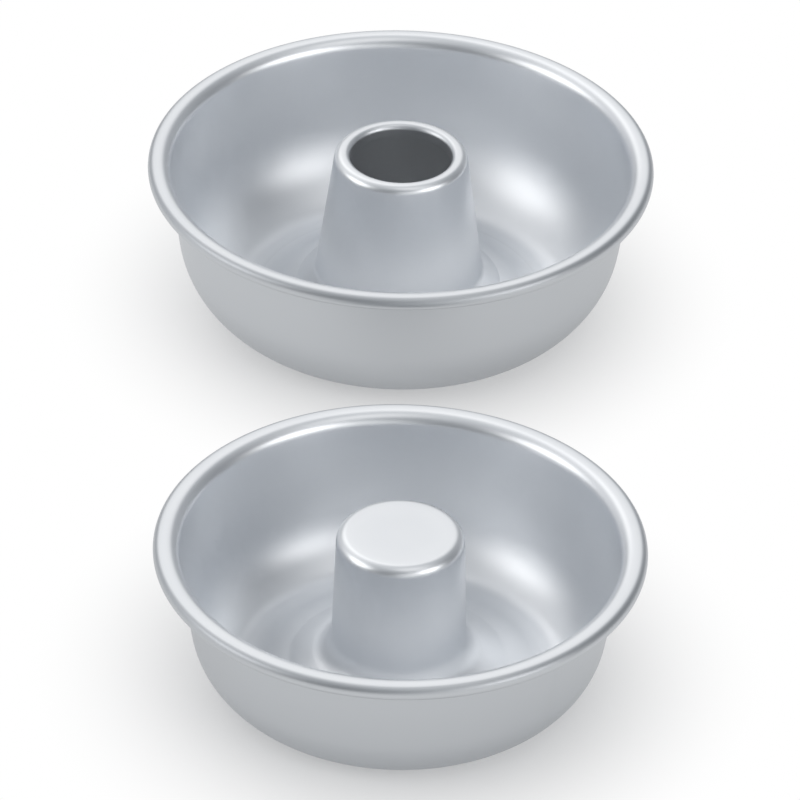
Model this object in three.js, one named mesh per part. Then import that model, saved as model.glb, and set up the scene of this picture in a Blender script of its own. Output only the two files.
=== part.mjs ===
// A set of two flan moulds, each drawn from a single disc of aluminium sheet.
// The mould behind has a tapered tube that is open at the top. The mould in front has a closed tube.
// Each is one bent sheet turned about the upright axis of its tube, with a hollow rolled rim.
// Millimetres, Z up. Both stand on z = 0, and the origin is the middle of the set's footprint.

import * as THREE from "three";

// Sheet, heel and rolled rim, the same on both moulds
const sheetThickness = 1.0;
const heelSlope = 30; // degrees from level of the heel between floor and wall
const lipBendRadius = 2.3; // inside the bend from the wall to the rim's flat
const curlBendRadius = 1.5; // inside the hollow curl
const curlTurn = 270; // degrees from the rim's flat round to the tucked edge

// Open-tube mould
const openRimDiameter = 176;
const openRimWidth = 7.6; // from the wall to the outside of the curl
const openHeight = 57;
const openWallDraft = 8; // degrees from upright
const openCornerBendRadius = 33; // between wall and heel
const openHeelDiameter = 113.6; // where the heel leaves the floor
const openHeelBendRadius = 13;
const openRestDiameter = 94; // inner edge of the flat ring that the mould stands on
const openRestBendRadius = 10;
const openFloorSlope = 27; // degrees that the floor rises from that ring to the skirt
const openSkirtDiameter = 71.4; // crease where the floor meets the skirt
const openCreaseBendRadius = 0.8;
const openSkirtSlope = 44; // degrees from level
const openFootBendRadius = 4;
const openTubeDiameter = 46; // over the tube, at its top
const openTubeTaper = 7.6; // degrees from upright
const openTubeHeight = 60;
const openShoulderBendRadius = 2;
const openHoleDiameter = 35.4;
const openHoleBendRadius = 1;
const openCollarDepth = 5; // how far the edge of the hole is turned down

// Closed-tube mould
const closedRimDiameter = 160;
const closedRimWidth = 8.2;
const closedHeight = 51;
const closedWallDraft = 9;
const closedCornerBendRadius = 23.5;
const closedHeelDiameter = 106.2;
const closedHeelBendRadius = 9.4;
const closedRestDiameter = 93;
const closedRestBendRadius = 10;
const closedFloorSlope = 17;
const closedRingFootDiameter = 71; // raised ring round the tube, where it leaves the floor
const closedRingTopDiameter = 56;
const closedRingRise = 3.6; // above the floor beside it
const closedRingFootBendRadius = 6;
const closedRingTopBendRadius = 3;
const closedFootBendRadius = 5;
const closedTubeDiameter = 41.6;
const closedTubeTaper = 1.5;
const closedTubeHeight = 54.5;
const closedShoulderBendRadius = 2.7;

// Layout and fineness
const rimGap = 51; // clear floor between the two rims
const arcSag = 0.15; // how far a facet may cut inside a bend
const turnSteps = 52; // facets round each mould

const degrees = THREE.MathUtils.degToRad;
const quarterTurn = Math.PI / 2;

function leftOf(heading) {
  return new THREE.Vector2(-Math.sin(heading), Math.cos(heading));
}

// Points along a bend that starts at a place and heading. A negative turn goes right.
function bendPoints(start, heading, turn, radius) {
  const side = Math.sign(turn);
  const centre = leftOf(heading).multiplyScalar(side * radius).add(start);
  const stepAngle = 2 * Math.acos(1 - Math.min(arcSag / radius, 1));
  const steps = Math.ceil(Math.abs(turn) / stepAngle);
  return Array.from({ length: steps + 1 }, (_, step) => {
    const towards = heading + (turn * step) / steps;
    const at = leftOf(towards).multiplyScalar(-side * radius).add(centre);
    return { at, heading: towards };
  });
}

// Walks the food side of a sheet through its corners, with the metal on the right of the walk.
// A corner's bend is the radius inside the bend, so a right-hand bend adds the sheet to it.
// A leg that is too short for the bends at its two ends makes both of them tighter.
function walkSheet(corners) {
  const legs = corners.slice(1).map((corner, i) => corner.at.clone().sub(corners[i].at));
  const bends = legs.slice(1).map((leg, i) => {
    const turn = Math.atan2(legs[i].cross(leg), legs[i].dot(leg));
    const radius = corners[i + 1].bend + (turn < 0 ? sheetThickness : 0);
    return { turn, tangent: radius * Math.tan(Math.abs(turn) / 2) };
  });
  legs.forEach((leg, i) => {
    const ends = [bends[i - 1], bends[i]].filter(Boolean);
    const needed = ends.reduce((sum, bend) => sum + bend.tangent, 0);
    const share = Math.min(1, leg.length() / needed);
    ends.forEach((bend) => { bend.tangent *= share; });
  });
  const walk = [{ at: corners[0].at, heading: legs[0].angle() }];
  bends.forEach(({ turn, tangent }, i) => {
    const start = legs[i].clone().setLength(-tangent).add(corners[i + 1].at);
    const radius = tangent / Math.tan(Math.abs(turn) / 2);
    walk.push(...bendPoints(start, legs[i].angle(), turn, radius));
  });
  return walk;
}

// Floor to rim: the two ends of the heel, the mouth, and the end of the rim's flat, where the curl starts
function wallCorners({ rimDiameter, rimWidth, height, wallDraft, cornerBend, heelDiameter, heelBend }) {
  const mouthRadius = rimDiameter / 2 - rimWidth;
  const draft = Math.tan(degrees(wallDraft));
  const heel = Math.tan(degrees(heelSlope));
  const heelRadius = heelDiameter / 2;
  const wallFootRadius = mouthRadius - (height - sheetThickness) * draft;
  const heelWidth = (wallFootRadius - heelRadius) / (1 - heel * draft);
  const curlRadius = curlBendRadius + sheetThickness;
  return [
    { at: new THREE.Vector2(heelRadius, sheetThickness), bend: heelBend },
    { at: new THREE.Vector2(heelRadius + heelWidth, sheetThickness + heelWidth * heel), bend: cornerBend },
    { at: new THREE.Vector2(mouthRadius, height), bend: lipBendRadius },
    { at: new THREE.Vector2(rimDiameter / 2 - curlRadius, height) },
  ];
}

// Gives the walked sheet its thickness and turns it about the tube's axis.
function turnSheet(corners) {
  const curlStart = corners.at(-1).at;
  const curlRadius = curlBendRadius + sheetThickness;
  const walk = [...walkSheet(corners), ...bendPoints(curlStart, 0, -degrees(curlTurn), curlRadius)];
  const foodSide = walk.map(({ at }) => at);
  const underside = walk.map(({ at, heading }) => leftOf(heading).multiplyScalar(-sheetThickness).add(at));
  const outline = [...underside, ...foodSide.reverse()];
  if (underside[0].x > 0) {
    outline.push(underside[0].clone());
  }
  return new THREE.LatheGeometry(outline, turnSteps).rotateX(quarterTurn);
}

function satinAluminium() {
  return new THREE.MeshStandardMaterial({ color: 0xb9bcc0, roughness: 0.36, metalness: 1 });
}

// Open tube: the edge turned down into the hole, the shoulder, the taper, the skirt and the sloping floor
function openTubeMould() {
  const rest = new THREE.Vector2(openRestDiameter / 2, sheetThickness);
  const creaseRadius = openSkirtDiameter / 2;
  const floorRise = (rest.x - creaseRadius) * Math.tan(degrees(openFloorSlope));
  const crease = new THREE.Vector2(creaseRadius, rest.y + floorRise);
  const tubeRadius = openTubeDiameter / 2;
  const taper = Math.tan(degrees(openTubeTaper));
  const skirt = Math.tan(degrees(openSkirtSlope));
  const drop = openTubeHeight - crease.y;
  const skirtWidth = (crease.x - tubeRadius - drop * taper) / (1 - skirt * taper);
  const foot = new THREE.Vector2(crease.x - skirtWidth, crease.y + skirtWidth * skirt);
  const holeRadius = openHoleDiameter / 2;
  const geometry = turnSheet([
    { at: new THREE.Vector2(holeRadius, openTubeHeight - openCollarDepth) },
    { at: new THREE.Vector2(holeRadius, openTubeHeight), bend: openHoleBendRadius },
    { at: new THREE.Vector2(tubeRadius, openTubeHeight), bend: openShoulderBendRadius },
    { at: foot, bend: openFootBendRadius },
    { at: crease, bend: openCreaseBendRadius },
    { at: rest, bend: openRestBendRadius },
    ...wallCorners({
      rimDiameter: openRimDiameter,
      rimWidth: openRimWidth,
      height: openHeight,
      wallDraft: openWallDraft,
      cornerBend: openCornerBendRadius,
      heelDiameter: openHeelDiameter,
      heelBend: openHeelBendRadius,
    }),
  ]);
  const mould = new THREE.Mesh(geometry, satinAluminium());
  mould.name = "open_tube_mould";
  return mould;
}

// Closed tube: the flat top, the shoulder, the nearly straight tube, the raised ring round its foot and the floor
function closedTubeMould() {
  const rest = new THREE.Vector2(closedRestDiameter / 2, sheetThickness);
  const ringFootRadius = closedRingFootDiameter / 2;
  const floorRise = (rest.x - ringFootRadius) * Math.tan(degrees(closedFloorSlope));
  const ringFoot = new THREE.Vector2(ringFootRadius, rest.y + floorRise);
  const ringTop = ringFoot.y + closedRingRise;
  const tubeRadius = closedTubeDiameter / 2;
  const footRadius = tubeRadius + (closedTubeHeight - ringTop) * Math.tan(degrees(closedTubeTaper));
  const geometry = turnSheet([
    { at: new THREE.Vector2(0, closedTubeHeight) },
    { at: new THREE.Vector2(tubeRadius, closedTubeHeight), bend: closedShoulderBendRadius },
    { at: new THREE.Vector2(footRadius, ringTop), bend: closedFootBendRadius },
    { at: new THREE.Vector2(closedRingTopDiameter / 2, ringTop), bend: closedRingTopBendRadius },
    { at: ringFoot, bend: closedRingFootBendRadius },
    { at: rest, bend: closedRestBendRadius },
    ...wallCorners({
      rimDiameter: closedRimDiameter,
      rimWidth: closedRimWidth,
      height: closedHeight,
      wallDraft: closedWallDraft,
      cornerBend: closedCornerBendRadius,
      heelDiameter: closedHeelDiameter,
      heelBend: closedHeelBendRadius,
    }),
  ]);
  const mould = new THREE.Mesh(geometry, satinAluminium());
  mould.name = "closed_tube_mould";
  return mould;
}

const setLength = closedRimDiameter + rimGap + openRimDiameter;
const openMould = openTubeMould();
openMould.position.y = (setLength - openRimDiameter) / 2;
const closedMould = closedTubeMould();
closedMould.position.y = (closedRimDiameter - setLength) / 2;

const flanMouldSet = new THREE.Group();
flanMouldSet.add(openMould, closedMould);

export default flanMouldSet;
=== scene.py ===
import math

import bpy
from mathutils import Matrix, Vector


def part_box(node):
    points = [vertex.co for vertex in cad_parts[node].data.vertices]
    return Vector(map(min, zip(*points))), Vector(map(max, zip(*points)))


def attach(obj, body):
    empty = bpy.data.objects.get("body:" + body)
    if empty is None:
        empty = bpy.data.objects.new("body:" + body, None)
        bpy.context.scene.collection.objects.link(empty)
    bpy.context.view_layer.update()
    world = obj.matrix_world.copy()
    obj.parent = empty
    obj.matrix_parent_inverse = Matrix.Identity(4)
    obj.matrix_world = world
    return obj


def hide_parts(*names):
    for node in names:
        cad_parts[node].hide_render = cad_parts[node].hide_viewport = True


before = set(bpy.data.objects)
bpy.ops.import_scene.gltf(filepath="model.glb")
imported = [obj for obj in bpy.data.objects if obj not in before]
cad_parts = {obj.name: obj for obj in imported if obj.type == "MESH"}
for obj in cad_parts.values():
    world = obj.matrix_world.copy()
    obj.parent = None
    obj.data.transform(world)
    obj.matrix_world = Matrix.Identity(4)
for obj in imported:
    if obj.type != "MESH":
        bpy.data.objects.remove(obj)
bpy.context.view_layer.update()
print("frame loaded:", ", ".join(sorted(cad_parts)))

nodeGrid = {"columns": 12, "width": 180, "height": 220}


# node helper: sockets are linked or given a value, other words are the node's own settings
def addNode(tree, kind, sockets=None, **settings):
    made = tree.nodes.new(kind)
    row, column = divmod(len(tree.nodes), nodeGrid["columns"])
    made.location = (nodeGrid["width"] * column, -nodeGrid["height"] * row)
    for key, value in settings.items():
        setattr(made, key, value)
    for key, value in (sockets or {}).items():
        if isinstance(value, bpy.types.NodeSocket):
            tree.links.new(value, made.inputs[key])
        else:
            made.inputs[key].default_value = value
    return made


def addSockets(tree, direction, sockets):
    for name, kind, value in sockets:
        made = tree.interface.new_socket(name, in_out=direction, socket_type="NodeSocket" + kind)
        if value is not None:
            made.default_value = value


def calc(tree, operation, *values):
    return addNode(tree, "ShaderNodeMath", dict(enumerate(values)), operation=operation).outputs[0]


def vectorCalc(tree, operation, *values):
    return addNode(tree, "ShaderNodeVectorMath", dict(enumerate(values)), operation=operation).outputs


def remap(tree, value, source=(0.0, 1.0), target=(0.0, 1.0), **settings):
    return addNode(tree, "ShaderNodeMapRange", {
        "Value": value, "From Min": source[0], "From Max": source[1],
        "To Min": target[0], "To Max": target[1],
    }, **settings).outputs["Result"]


# the mix node has its colours in sockets 6 and 7, and the mixed colour is its output 2
def mixColours(tree, share, first, second):
    return addNode(tree, "ShaderNodeMix", {0: share, 6: first, 7: second}, data_type="RGBA").outputs[2]


# one sheet outline, rounded at its corners and turned about an upright axis
def buildTurnedSheet():
    tree = bpy.data.node_groups.new("turnedSheet", "GeometryNodeTree")
    addSockets(tree, "INPUT", [
        ("Geometry", "Geometry", None),
        ("Turn Steps", "Int", 224),
        ("Flat Spacing", "Float", 0.0025),
        ("Spin Radius", "Float", 0.05),
        ("Weld", "Float", 0.000002),
        ("Axis", "Vector", (0, 0, 0)),
        ("Finish", "Material", None),
    ])
    addSockets(tree, "OUTPUT", [("Geometry", "Geometry", None)])
    given = tree.nodes.new("NodeGroupInput").outputs

    # round the corners by the bend written on each point
    bend = addNode(tree, "GeometryNodeInputNamedAttribute", {"Name": "bend"}, data_type="FLOAT")
    bendSteps = addNode(tree, "GeometryNodeInputNamedAttribute", {"Name": "bendSteps"}, data_type="INT")
    outline = addNode(tree, "GeometryNodeMeshToCurve", {"Mesh": given["Geometry"]})
    rounded = addNode(tree, "GeometryNodeFilletCurve", {
        "Curve": outline.outputs["Curve"],
        "Count": bendSteps.outputs["Attribute"],
        "Radius": bend.outputs["Attribute"],
        "Limit Radius": True,
    }, mode="POLY")

    # short steps along the flats, so that they shade flat
    here = addNode(tree, "GeometryNodeInputPosition").outputs[0]
    index = addNode(tree, "GeometryNodeInputIndex").outputs[0]
    following = addNode(tree, "FunctionNodeIntegerMath", {0: index, 1: 1}, operation="ADD").outputs[0]
    there = addNode(tree, "GeometryNodeFieldAtIndex", {"Value": here, "Index": following},
                    data_type="FLOAT_VECTOR", domain="POINT").outputs[0]
    span = vectorCalc(tree, "DISTANCE", here, there)["Value"]
    cuts = calc(tree, "FLOOR", calc(tree, "DIVIDE", span, given["Flat Spacing"]))
    stepped = addNode(tree, "GeometryNodeSubdivideCurve", {"Curve": rounded.outputs["Curve"], "Cuts": cuts})

    # how far along the sheet each point lies, for the finish
    along = addNode(tree, "GeometryNodeSplineParameter").outputs["Length"]
    measured = addNode(tree, "GeometryNodeStoreNamedAttribute", {
        "Geometry": stepped.outputs["Curve"], "Name": "run", "Value": along,
    }, data_type="FLOAT", domain="POINT")

    # turn it
    inward = addNode(tree, "ShaderNodeCombineXYZ", {"X": calc(tree, "MULTIPLY", given["Spin Radius"], -1.0)})
    drawnIn = addNode(tree, "GeometryNodeSetPosition", {
        "Geometry": measured.outputs["Geometry"], "Offset": inward.outputs[0]})
    circle = addNode(tree, "GeometryNodeCurvePrimitiveCircle", {
        "Resolution": given["Turn Steps"], "Radius": given["Spin Radius"]}, mode="RADIUS")
    turned = addNode(tree, "GeometryNodeCurveToMesh", {
        "Curve": circle.outputs["Curve"], "Profile Curve": drawnIn.outputs["Geometry"]})
    closed = addNode(tree, "GeometryNodeMergeByDistance", {
        "Geometry": turned.outputs["Mesh"], "Distance": given["Weld"]})
    smooth = addNode(tree, "GeometryNodeSetShadeSmooth", {"Geometry": closed.outputs["Geometry"]})
    placed = addNode(tree, "GeometryNodeTransform", {
        "Geometry": smooth.outputs["Geometry"], "Translation": given["Axis"]})
    real = addNode(tree, "GeometryNodeRealizeInstances", {"Geometry": placed.outputs["Geometry"]})
    finished = addNode(tree, "GeometryNodeSetMaterial", {
        "Geometry": real.outputs["Geometry"], "Material": given["Finish"]})
    addNode(tree, "NodeGroupOutput", {"Geometry": finished.outputs["Geometry"]})
    return tree


turnedSheet = buildTurnedSheet()

# the aluminium sheet, the same on both moulds
sheet = {
    "thickness": 0.001,
    "heelSlope": 30,  # between floor and wall, from level
    "heelSteps": 10,
    "cornerSteps": 14,
    "lipBend": 0.0036,  # inside the bend from the wall to the rim
    "lipWorn": 0.8,
    "curlBend": 0.0015,  # inside the hollow curl
    "curlWorn": 0.4,
    "edgeSoftness": 0.00018,
    "edgeSegments": 2,
    "edgeAngle": 50,
}


# a corner of the food side: radius, height, bend, steps in the bend and how much handling has polished it
def corner(radius, height, bend=0.0, steps=8, worn=0.0):
    return {"at": (radius, -height, 0), "bend": bend, "bendSteps": steps, "worn": worn}


def convex(bend):
    return bend + sheet["thickness"]  # the food side goes round the outside of the sheet


def slope(degrees):
    return math.tan(math.radians(degrees))


# how high the floor has risen from the resting ring to a radius nearer the tube
def floorHeight(mould, radius):
    return sheet["thickness"] + (mould["restRadius"] - radius) * slope(mould["floorSlope"])


# heel, wall, lip and the curl that tucks under the rim
def wallCorners(mould, rimRadius):
    base, top = sheet["thickness"], mould["rimHeight"]
    mouth = rimRadius - mould["rimWidth"]
    draft, heel = slope(mould["wallDraft"]), slope(sheet["heelSlope"])
    wallFoot = mouth - (top - base) * draft
    heelRadius = mould["heelRadius"]
    heelWidth = (wallFoot - heelRadius) / (1 - heel * draft)
    heelTop = base + heelWidth * heel
    curl = convex(sheet["curlBend"])
    low = top - 2 * curl
    return [
        corner(heelRadius, base, mould["heelBend"], steps=sheet["heelSteps"]),
        corner(heelRadius + heelWidth, heelTop, mould["cornerBend"], steps=sheet["cornerSteps"]),
        corner(mouth, top, convex(sheet["lipBend"]), worn=sheet["lipWorn"]),
        corner(rimRadius, top, curl, worn=sheet["curlWorn"]),
        corner(rimRadius, low, curl),
        corner(rimRadius - 2 * curl, low, curl),
        corner(rimRadius - 2 * curl, low + curl),
    ]


def turnMould(mould, corners, finish, axis):
    outline = bpy.data.meshes.new(mould["piece"] + "Outline")
    outline.from_pydata([c["at"] for c in corners], [(i, i + 1) for i in range(len(corners) - 1)], [])
    for name, kind in (("bend", "FLOAT"), ("bendSteps", "INT"), ("worn", "FLOAT")):
        written = outline.attributes.new(name, kind, "POINT")
        written.data.foreach_set("value", [c[name] for c in corners])
    piece = bpy.data.objects.new(mould["piece"], outline)
    bpy.context.scene.collection.objects.link(piece)

    turn = piece.modifiers.new("turn", "NODES")
    turn.node_group = turnedSheet
    names = {s.name: s.identifier for s in turnedSheet.interface.items_tree if s.in_out == "INPUT"}
    turn[names["Axis"]] = axis
    turn[names["Finish"]] = finish
    wall = piece.modifiers.new("wall", "SOLIDIFY")
    wall.thickness = sheet["thickness"]
    wall.offset = -1  # all of the metal lies behind the food side
    wall.use_even_offset = True
    soft = piece.modifiers.new("softEdge", "BEVEL")
    soft.width = sheet["edgeSoftness"]
    soft.segments = sheet["edgeSegments"]
    soft.limit_method = "ANGLE"
    soft.angle_limit = math.radians(sheet["edgeAngle"])

    depsgraph = bpy.context.evaluated_depsgraph_get()
    made = bpy.data.meshes.new_from_object(
        piece.evaluated_get(depsgraph), preserve_all_data_layers=True, depsgraph=depsgraph)
    piece.modifiers.clear()
    piece.data = made
    made.name = mould["piece"]
    made.set_sharp_from_angle(angle=math.radians(sheet["edgeAngle"]))
    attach(piece, mould["body"])
    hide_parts(mould["node"])
    print(mould["piece"], "turned:", sum(len(p.vertices) - 2 for p in made.polygons), "triangles")


def axisOf(node):
    low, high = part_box(node)
    return (low.x + high.x) / 2, (low.y + high.y) / 2, 0.0


# a place's way from the upright axis, without its height
def fromAxis(tree, place):
    return vectorCalc(tree, "MULTIPLY", place, (1, 1, 0))["Vector"]


# shared finish effects
def buildDrawLines():
    group = bpy.data.node_groups.new("drawLines", "ShaderNodeTree")
    addSockets(group, "INPUT", [
        ("Place", "Vector", None),
        ("Run", "Float", None),
        ("Pitch", "Float", 0.0004),
        ("Wander", "Float", 2.0),
    ])
    addSockets(group, "OUTPUT", [("Lines", "Float", None)])
    given = group.nodes.new("NodeGroupInput").outputs
    around = vectorCalc(group, "NORMALIZE", fromAxis(group, given["Place"]))["Vector"]
    wandering = addNode(group, "ShaderNodeVectorMath", {
        0: around, "Scale": given["Wander"]}, operation="SCALE")
    count = calc(group, "DIVIDE", given["Run"], given["Pitch"])
    counted = addNode(group, "ShaderNodeCombineXYZ", {"Z": count})
    where = vectorCalc(group, "ADD", wandering.outputs[0], counted.outputs[0])["Vector"]
    noise = addNode(group, "ShaderNodeTexNoise", {
        "Vector": where, "Scale": 1.0, "Detail": 2.0, "Roughness": 0.6})
    addNode(group, "NodeGroupOutput", {"Lines": noise.outputs[0]})
    return group


def buildSatinGrain():
    group = bpy.data.node_groups.new("satinGrain", "ShaderNodeTree")
    addSockets(group, "INPUT", [
        ("Place", "Vector", None),
        ("Grain", "Float", 0.0004),
        ("Cloud", "Float", 0.03),
    ])
    addSockets(group, "OUTPUT", [("Grains", "Float", None), ("Clouds", "Float", None)])
    given = group.nodes.new("NodeGroupInput").outputs
    fine = addNode(group, "ShaderNodeTexNoise", {
        "Vector": given["Place"], "Scale": calc(group, "DIVIDE", 1.0, given["Grain"]), "Detail": 3.0})
    broad = addNode(group, "ShaderNodeTexNoise", {
        "Vector": given["Place"], "Scale": calc(group, "DIVIDE", 1.0, given["Cloud"]), "Detail": 4.0})
    addNode(group, "NodeGroupOutput", {"Grains": fine.outputs[0], "Clouds": broad.outputs[0]})
    return group


# the outer side of the sheet: where the painted shade and the duller roughness go
def buildOuterFace():
    group = bpy.data.node_groups.new("outerFace", "ShaderNodeTree")
    addSockets(group, "INPUT", [
        ("Place", "Vector", None),
        ("Facing", "Vector", None),
        ("Inner Radius", "Float", 0.05),
        ("Edge", "Float", 0.6),
        ("In Tube", "Float", -0.3),
    ])
    addSockets(group, "OUTPUT", [("Outside", "Float", None)])
    given = group.nodes.new("NodeGroupInput").outputs
    across = fromAxis(group, given["Place"])
    radius = vectorCalc(group, "LENGTH", across)["Value"]
    outward = vectorCalc(group, "NORMALIZE", across)["Vector"]
    turned = vectorCalc(group, "DOT_PRODUCT", given["Facing"], outward)["Value"]

    # the outside looks away from the axis on the wall, and towards it in the tube, where it counts for less
    beyond = calc(group, "GREATER_THAN", radius, given["Inner Radius"])
    side = remap(group, beyond, target=(given["In Tube"], 1.0))
    faces = remap(group, calc(group, "MULTIPLY", turned, side), source=(0.0, given["Edge"]))
    addNode(group, "NodeGroupOutput", {"Outside": faces})
    return group


drawLines = buildDrawLines()
satinGrain = buildSatinGrain()
outerFace = buildOuterFace()

satin = {
    "tone": (0.882, 0.9, 0.921, 1),
    "darkTone": (0.842, 0.86, 0.886, 1),
    # painted shade: the outside's darker tone stands for the shaded floor it reflects
    "outsideShadeTone": (0.555, 0.575, 0.598, 1),
    "roughness": 0.4,
    "polished": 0.34,
    "dull": 0.44,
    "rubbed": (0.45, 0.75),  # handling from which the polish starts, and at which it is full
    "linePitch": 0.00035,
    "lineWander": 3.0,
    "lineTone": 0.3,
    "lineRoughness": 0.04,
    "lineRelief": 0.000001,
    "bandPitch": 0.006,
    "bandWander": 0.25,
    "bandRelief": 0.00002,
    "grain": 0.00035,
    "grainRoughness": 0.03,
    "grainRelief": 0.000001,
    "cloud": 0.03,
    "cloudRange": (0.3, 0.7),
    "cloudTone": 0.7,
    "roughnessMiddle": 0.035,  # what lines and grain add on average
    "reliefStrength": 0.6,
}


# satin, brighter where hands and cloths rub, and duller on the side that food never touches, whose darker
# tone there is painted shade for the shaded floor that side reflects
def buildSatinAluminium(name, axis):
    finish = bpy.data.materials.new(name)
    finish.use_nodes = True
    tree = finish.node_tree
    tree.nodes.clear()
    shown = addNode(tree, "ShaderNodeOutputMaterial")
    metal = addNode(tree, "ShaderNodeBsdfPrincipled", {"Metallic": 1.0})
    tree.links.new(metal.outputs["BSDF"], shown.inputs["Surface"])
    coords = addNode(tree, "ShaderNodeTexCoord").outputs
    place = addNode(tree, "ShaderNodeMapping", {
        "Vector": coords["Object"], "Location": (-axis[0], -axis[1], 0)}).outputs["Vector"]
    run = addNode(tree, "ShaderNodeAttribute", attribute_name="run").outputs["Fac"]
    handled = addNode(tree, "ShaderNodeAttribute", attribute_name="worn").outputs["Fac"]
    worn = remap(tree, handled, source=satin["rubbed"])
    lines = addNode(tree, "ShaderNodeGroup", {
        "Place": place, "Run": run, "Pitch": satin["linePitch"], "Wander": satin["lineWander"],
    }, node_tree=drawLines).outputs["Lines"]
    bands = addNode(tree, "ShaderNodeGroup", {
        "Place": place, "Run": run, "Pitch": satin["bandPitch"], "Wander": satin["bandWander"],
    }, node_tree=drawLines).outputs["Lines"]
    mottle = addNode(tree, "ShaderNodeGroup", {
        "Place": place, "Grain": satin["grain"], "Cloud": satin["cloud"],
    }, node_tree=satinGrain).outputs
    outsideShadeAndDull = addNode(tree, "ShaderNodeGroup", {
        "Place": place, "Facing": coords["Normal"],
    }, node_tree=outerFace).outputs["Outside"]

    # tone
    cloudy = remap(tree, mottle["Clouds"], source=satin["cloudRange"], target=(0.0, satin["cloudTone"]))
    lined = calc(tree, "MULTIPLY_ADD", lines, satin["lineTone"], cloudy)
    bright = mixColours(tree, lined, satin["darkTone"], satin["tone"])
    # the outside takes the darker tone, a painted shade for the shaded floor it reflects
    tone = mixColours(tree, outsideShadeAndDull, bright, satin["outsideShadeTone"])
    tree.links.new(tone, metal.inputs["Base Color"])

    # roughness
    rubbed = remap(tree, worn, target=(satin["roughness"], satin["polished"]))
    rough = addNode(tree, "ShaderNodeMix", {"Factor": outsideShadeAndDull, "A": rubbed, "B": satin["dull"]}).outputs[0]
    uneven = calc(tree, "MULTIPLY_ADD", mottle["Grains"], satin["grainRoughness"], rough)
    streaked = calc(tree, "MULTIPLY_ADD", lines, satin["lineRoughness"], uneven)
    level = calc(tree, "SUBTRACT", streaked, satin["roughnessMiddle"])
    tree.links.new(level, metal.inputs["Roughness"])

    # relief
    strength = satin["reliefStrength"]
    ridge = addNode(tree, "ShaderNodeBump", {
        "Height": bands, "Distance": satin["bandRelief"], "Strength": strength}).outputs[0]
    line = addNode(tree, "ShaderNodeBump", {
        "Height": lines, "Distance": satin["lineRelief"], "Strength": strength, "Normal": ridge}).outputs[0]
    speck = addNode(tree, "ShaderNodeBump", {
        "Height": mottle["Grains"], "Distance": satin["grainRelief"], "Strength": strength, "Normal": line,
    }).outputs[0]
    tree.links.new(speck, metal.inputs["Normal"])
    return finish


# open-tube mould, behind
openMould = {
    "piece": "openTubeMould",
    "node": "open_tube_mould",
    "body": "open_mould",
    "slot": "satin_aluminium",
    "rimWidth": 0.0076,
    "rimHeight": 0.057,
    "wallDraft": 8,
    "cornerBend": 0.033,
    "heelRadius": 0.0568,
    "heelBend": 0.013,
    "restRadius": 0.047,
    "restBend": 0.018,
    "floorSlope": 27,
    "creaseRadius": 0.0357,
    "creaseBend": 0.0008,
    "creaseSteps": 4,
    "skirtSlope": 44,
    "footBend": 0.004,
    "tubeRadius": 0.023,
    "tubeTaper": 7.6,
    "shoulderBend": 0.002,
    "shoulderWorn": 0.9,
    "holeRadius": 0.0177,
    "holeBend": 0.001,
    "holeWorn": 0.7,
    "collarDepth": 0.005,
}


def makeOpenMould(mould):
    low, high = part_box(mould["node"])
    axis = axisOf(mould["node"])
    top = high.z
    crease = mould["creaseRadius"]
    creaseHeight = floorHeight(mould, crease)
    taper, skirt = slope(mould["tubeTaper"]), slope(mould["skirtSlope"])
    skirtWidth = (crease - mould["tubeRadius"] - (top - creaseHeight) * taper) / (1 - skirt * taper)
    corners = [
        corner(mould["holeRadius"], top - mould["collarDepth"]),
        corner(mould["holeRadius"], top, convex(mould["holeBend"]), worn=mould["holeWorn"]),
        corner(mould["tubeRadius"], top, convex(mould["shoulderBend"]), worn=mould["shoulderWorn"]),
        corner(crease - skirtWidth, creaseHeight + skirtWidth * skirt, mould["footBend"]),
        corner(crease, creaseHeight, mould["creaseBend"], steps=mould["creaseSteps"]),
        corner(mould["restRadius"], sheet["thickness"], mould["restBend"]),
    ]
    corners += wallCorners(mould, (high.x - low.x) / 2)
    turnMould(mould, corners, buildSatinAluminium("satinAluminiumOpen", axis), axis)


# closed-tube mould, in front
closedMould = {
    "piece": "closedTubeMould",
    "node": "closed_tube_mould",
    "body": "closed_mould",
    "slot": "satin_aluminium",
    "rimWidth": 0.0082,
    "rimHeight": 0.051,
    "wallDraft": 9,
    "cornerBend": 0.0235,
    "heelRadius": 0.0531,
    "heelBend": 0.0094,
    "restRadius": 0.0465,
    "restBend": 0.018,
    "floorSlope": 17,
    "ringFootRadius": 0.0355,
    "ringFootBend": 0.011,
    "ringTopRadius": 0.028,
    "ringTopBend": 0.006,
    "ringRise": 0.0036,
    "ringTopSlope": 22,
    "footBend": 0.008,
    "tubeRadius": 0.0208,
    "tubeTaper": 1.5,
    "shoulderBend": 0.0027,
    "shoulderWorn": 0.9,
}


def makeClosedMould(mould):
    low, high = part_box(mould["node"])
    axis = axisOf(mould["node"])
    top = high.z
    ringFoot = floorHeight(mould, mould["ringFootRadius"])
    ringTop = ringFoot + mould["ringRise"]
    footRadius = mould["tubeRadius"] + (top - ringTop) * slope(mould["tubeTaper"])
    foot = ringTop + (mould["ringTopRadius"] - footRadius) * slope(mould["ringTopSlope"])
    corners = [
        corner(0.0, top),
        corner(mould["tubeRadius"], top, convex(mould["shoulderBend"]), worn=mould["shoulderWorn"]),
        corner(footRadius, foot, mould["footBend"]),
        corner(mould["ringTopRadius"], ringTop, convex(mould["ringTopBend"])),
        corner(mould["ringFootRadius"], ringFoot, mould["ringFootBend"]),
        corner(mould["restRadius"], sheet["thickness"], mould["restBend"]),
    ]
    corners += wallCorners(mould, (high.x - low.x) / 2)
    turnMould(mould, corners, buildSatinAluminium("satinAluminiumClosed", axis), axis)


makeOpenMould(openMould)
makeClosedMould(closedMould)

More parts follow.
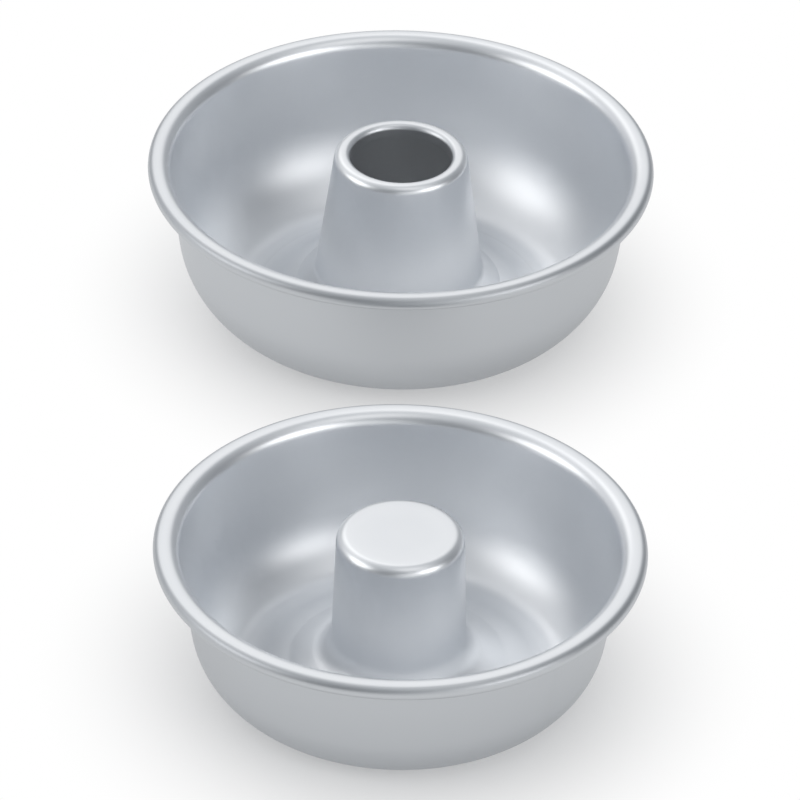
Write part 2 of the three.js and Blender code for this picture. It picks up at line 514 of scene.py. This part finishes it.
# floor: white paper whose white glow fades out close to the moulds, a painted shade round them in which their
# own shadows show, and clear from below
ground = {
    "half": 12.0,
    "drop": 0.0001,  # keeps the paper just under the moulds
    "albedo": 0.9,
    "shadeTo": 0.02,  # from a mould's axis, all shade up to here
    "whiteFrom": 0.122,  # and plain white from here
}


def makeFloor():
    half, depth = ground["half"], -ground["drop"]
    mesh = bpy.data.meshes.new("floor")
    mesh.from_pydata([(x, y, depth) for x, y in ((-half, -half), (half, -half), (half, half), (-half, half))],
                     [], [(0, 1, 2, 3)])
    floor = bpy.data.objects.new("floor", mesh)
    bpy.context.scene.collection.objects.link(floor)
    paper = bpy.data.materials.new("whitePaper")
    paper.use_nodes = True
    tree = paper.node_tree
    tree.nodes.clear()
    albedo = ground["albedo"]
    matt = addNode(tree, "ShaderNodeBsdfDiffuse", {"Color": (albedo, albedo, albedo, 1)})
    white = addNode(tree, "ShaderNodeEmission", {"Color": (1, 1, 1, 1), "Strength": 1.0})
    path = addNode(tree, "ShaderNodeLightPath").outputs
    seen = calc(tree, "MAXIMUM", path["Is Camera Ray"],
                calc(tree, "MAXIMUM", path["Is Glossy Ray"], path["Is Transmission Ray"]))
    place = addNode(tree, "ShaderNodeTexCoord").outputs["Object"]
    away = [vectorCalc(tree, "DISTANCE", place, axisOf(mould["node"]))["Value"]
            for mould in (openMould, closedMould)]
    # the glow comes in with distance from the moulds' axes, so the paper near them shows painted shade over
    # its own shadows
    paler = remap(tree, calc(tree, "MINIMUM", *away), source=(ground["shadeTo"], ground["whiteFrom"]),
                  interpolation_type="SMOOTHSTEP")
    lit = addNode(tree, "ShaderNodeMixShader", {
        0: calc(tree, "MULTIPLY", seen, paler), 1: matt.outputs[0], 2: white.outputs[0]})
    clear = addNode(tree, "ShaderNodeBsdfTransparent")
    below = addNode(tree, "ShaderNodeNewGeometry").outputs["Backfacing"]
    sided = addNode(tree, "ShaderNodeMixShader", {0: below, 1: lit.outputs[0], 2: clear.outputs[0]})
    addNode(tree, "ShaderNodeOutputMaterial", {"Surface": sided.outputs[0]})
    mesh.materials.append(paper)


makeFloor()
print("floor laid")

# studio: a white tent, a little cool where it is dim and brighter overhead
tent = {
    "low": 0.25,
    "overhead": 0.55,
    "riseFrom": 0.6,  # sine of the elevation where it starts to brighten
    "dimColour": (0.93, 0.993, 1.07, 1),
}

# its soft panels, in degrees, with azimuth clockwise from the back
# a panel is fully lit out to its reach, and dark where the fade beyond that ends
panels = [
    {"azimuth": 258, "elevation": 26, "reach": 6, "fade": 21, "level": 1.55},
    {"azimuth": 127, "elevation": 24, "reach": 9, "fade": 15, "level": 1.85},
    {"azimuth": 354, "elevation": 38, "reach": 13, "fade": 22, "level": 0.64},
    {"azimuth": 304, "elevation": 35, "reach": 13, "fade": 31, "level": 0.47},
    {"azimuth": 138, "elevation": 69, "reach": 8, "fade": 18, "level": 0.48},
    {"azimuth": 5, "elevation": 64, "reach": 8, "fade": 18, "level": 0.12},
    {"azimuth": 162, "elevation": 14, "reach": 10, "fade": 20, "level": 0.55},
    {"azimuth": 36, "elevation": 10, "reach": 14, "fade": 26, "level": 0.17},
]


def makeTent():
    world = bpy.data.worlds.new("whiteTent")
    bpy.context.scene.world = world
    world.use_nodes = True
    tree = world.node_tree
    tree.nodes.clear()
    direction = addNode(tree, "ShaderNodeTexCoord").outputs["Generated"]
    upward = addNode(tree, "ShaderNodeSeparateXYZ", {0: direction}).outputs["Z"]
    level = remap(tree, upward, source=(tent["riseFrom"], 1.0), target=(tent["low"], tent["overhead"]))
    for panel in panels:
        azimuth, elevation = math.radians(panel["azimuth"]), math.radians(panel["elevation"])
        reach, fade = math.radians(panel["reach"]), math.radians(panel["fade"])
        towards = (math.sin(azimuth) * math.cos(elevation), math.cos(azimuth) * math.cos(elevation),
                   math.sin(elevation))
        facing = vectorCalc(tree, "DOT_PRODUCT", direction, towards)["Value"]
        shown = remap(tree, facing, source=(math.cos(reach + fade), math.cos(reach)),
                      target=(0.0, panel["level"]), interpolation_type="SMOOTHSTEP")
        level = calc(tree, "ADD", level, shown)
    colour = mixColours(tree, level, tent["dimColour"], (1, 1, 1, 1))
    sky = addNode(tree, "ShaderNodeBackground", {"Color": colour, "Strength": level})
    addNode(tree, "ShaderNodeOutputWorld", {"Surface": sky.outputs[0]})


# camera: a long lens that sees both outlines where the photograph has them
view = {
    "aim": (0.0002, 0.0021, 0.027),
    "distance": 2.4,
    "elevation": 34.52,
    "azimuth": -0.67,
    "roll": 1.2,
    "lens": 319.6,
    "clipEnd": 60,
}


def makeCamera():
    azimuth, elevation, roll = (math.radians(view[k]) for k in ("azimuth", "elevation", "roll"))
    back = Vector((math.sin(azimuth) * math.cos(elevation), -math.cos(azimuth) * math.cos(elevation),
                   math.sin(elevation)))
    level = Vector((math.cos(azimuth), math.sin(azimuth), 0))
    upright = back.cross(level)
    right = level * math.cos(roll) + upright * math.sin(roll)
    up = upright * math.cos(roll) - level * math.sin(roll)
    lens = bpy.data.cameras.new("camera")
    lens.lens = view["lens"]
    lens.clip_end = view["clipEnd"]
    camera = bpy.data.objects.new("camera", lens)
    bpy.context.scene.collection.objects.link(camera)
    turned = Matrix((right, up, back)).transposed().to_4x4()
    turned.translation = Vector(view["aim"]) + back * view["distance"]
    camera.matrix_world = turned
    bpy.context.scene.camera = camera


makeTent()
makeCamera()
bpy.context.scene.view_settings.view_transform = "Standard"
print("studio lit, camera set")
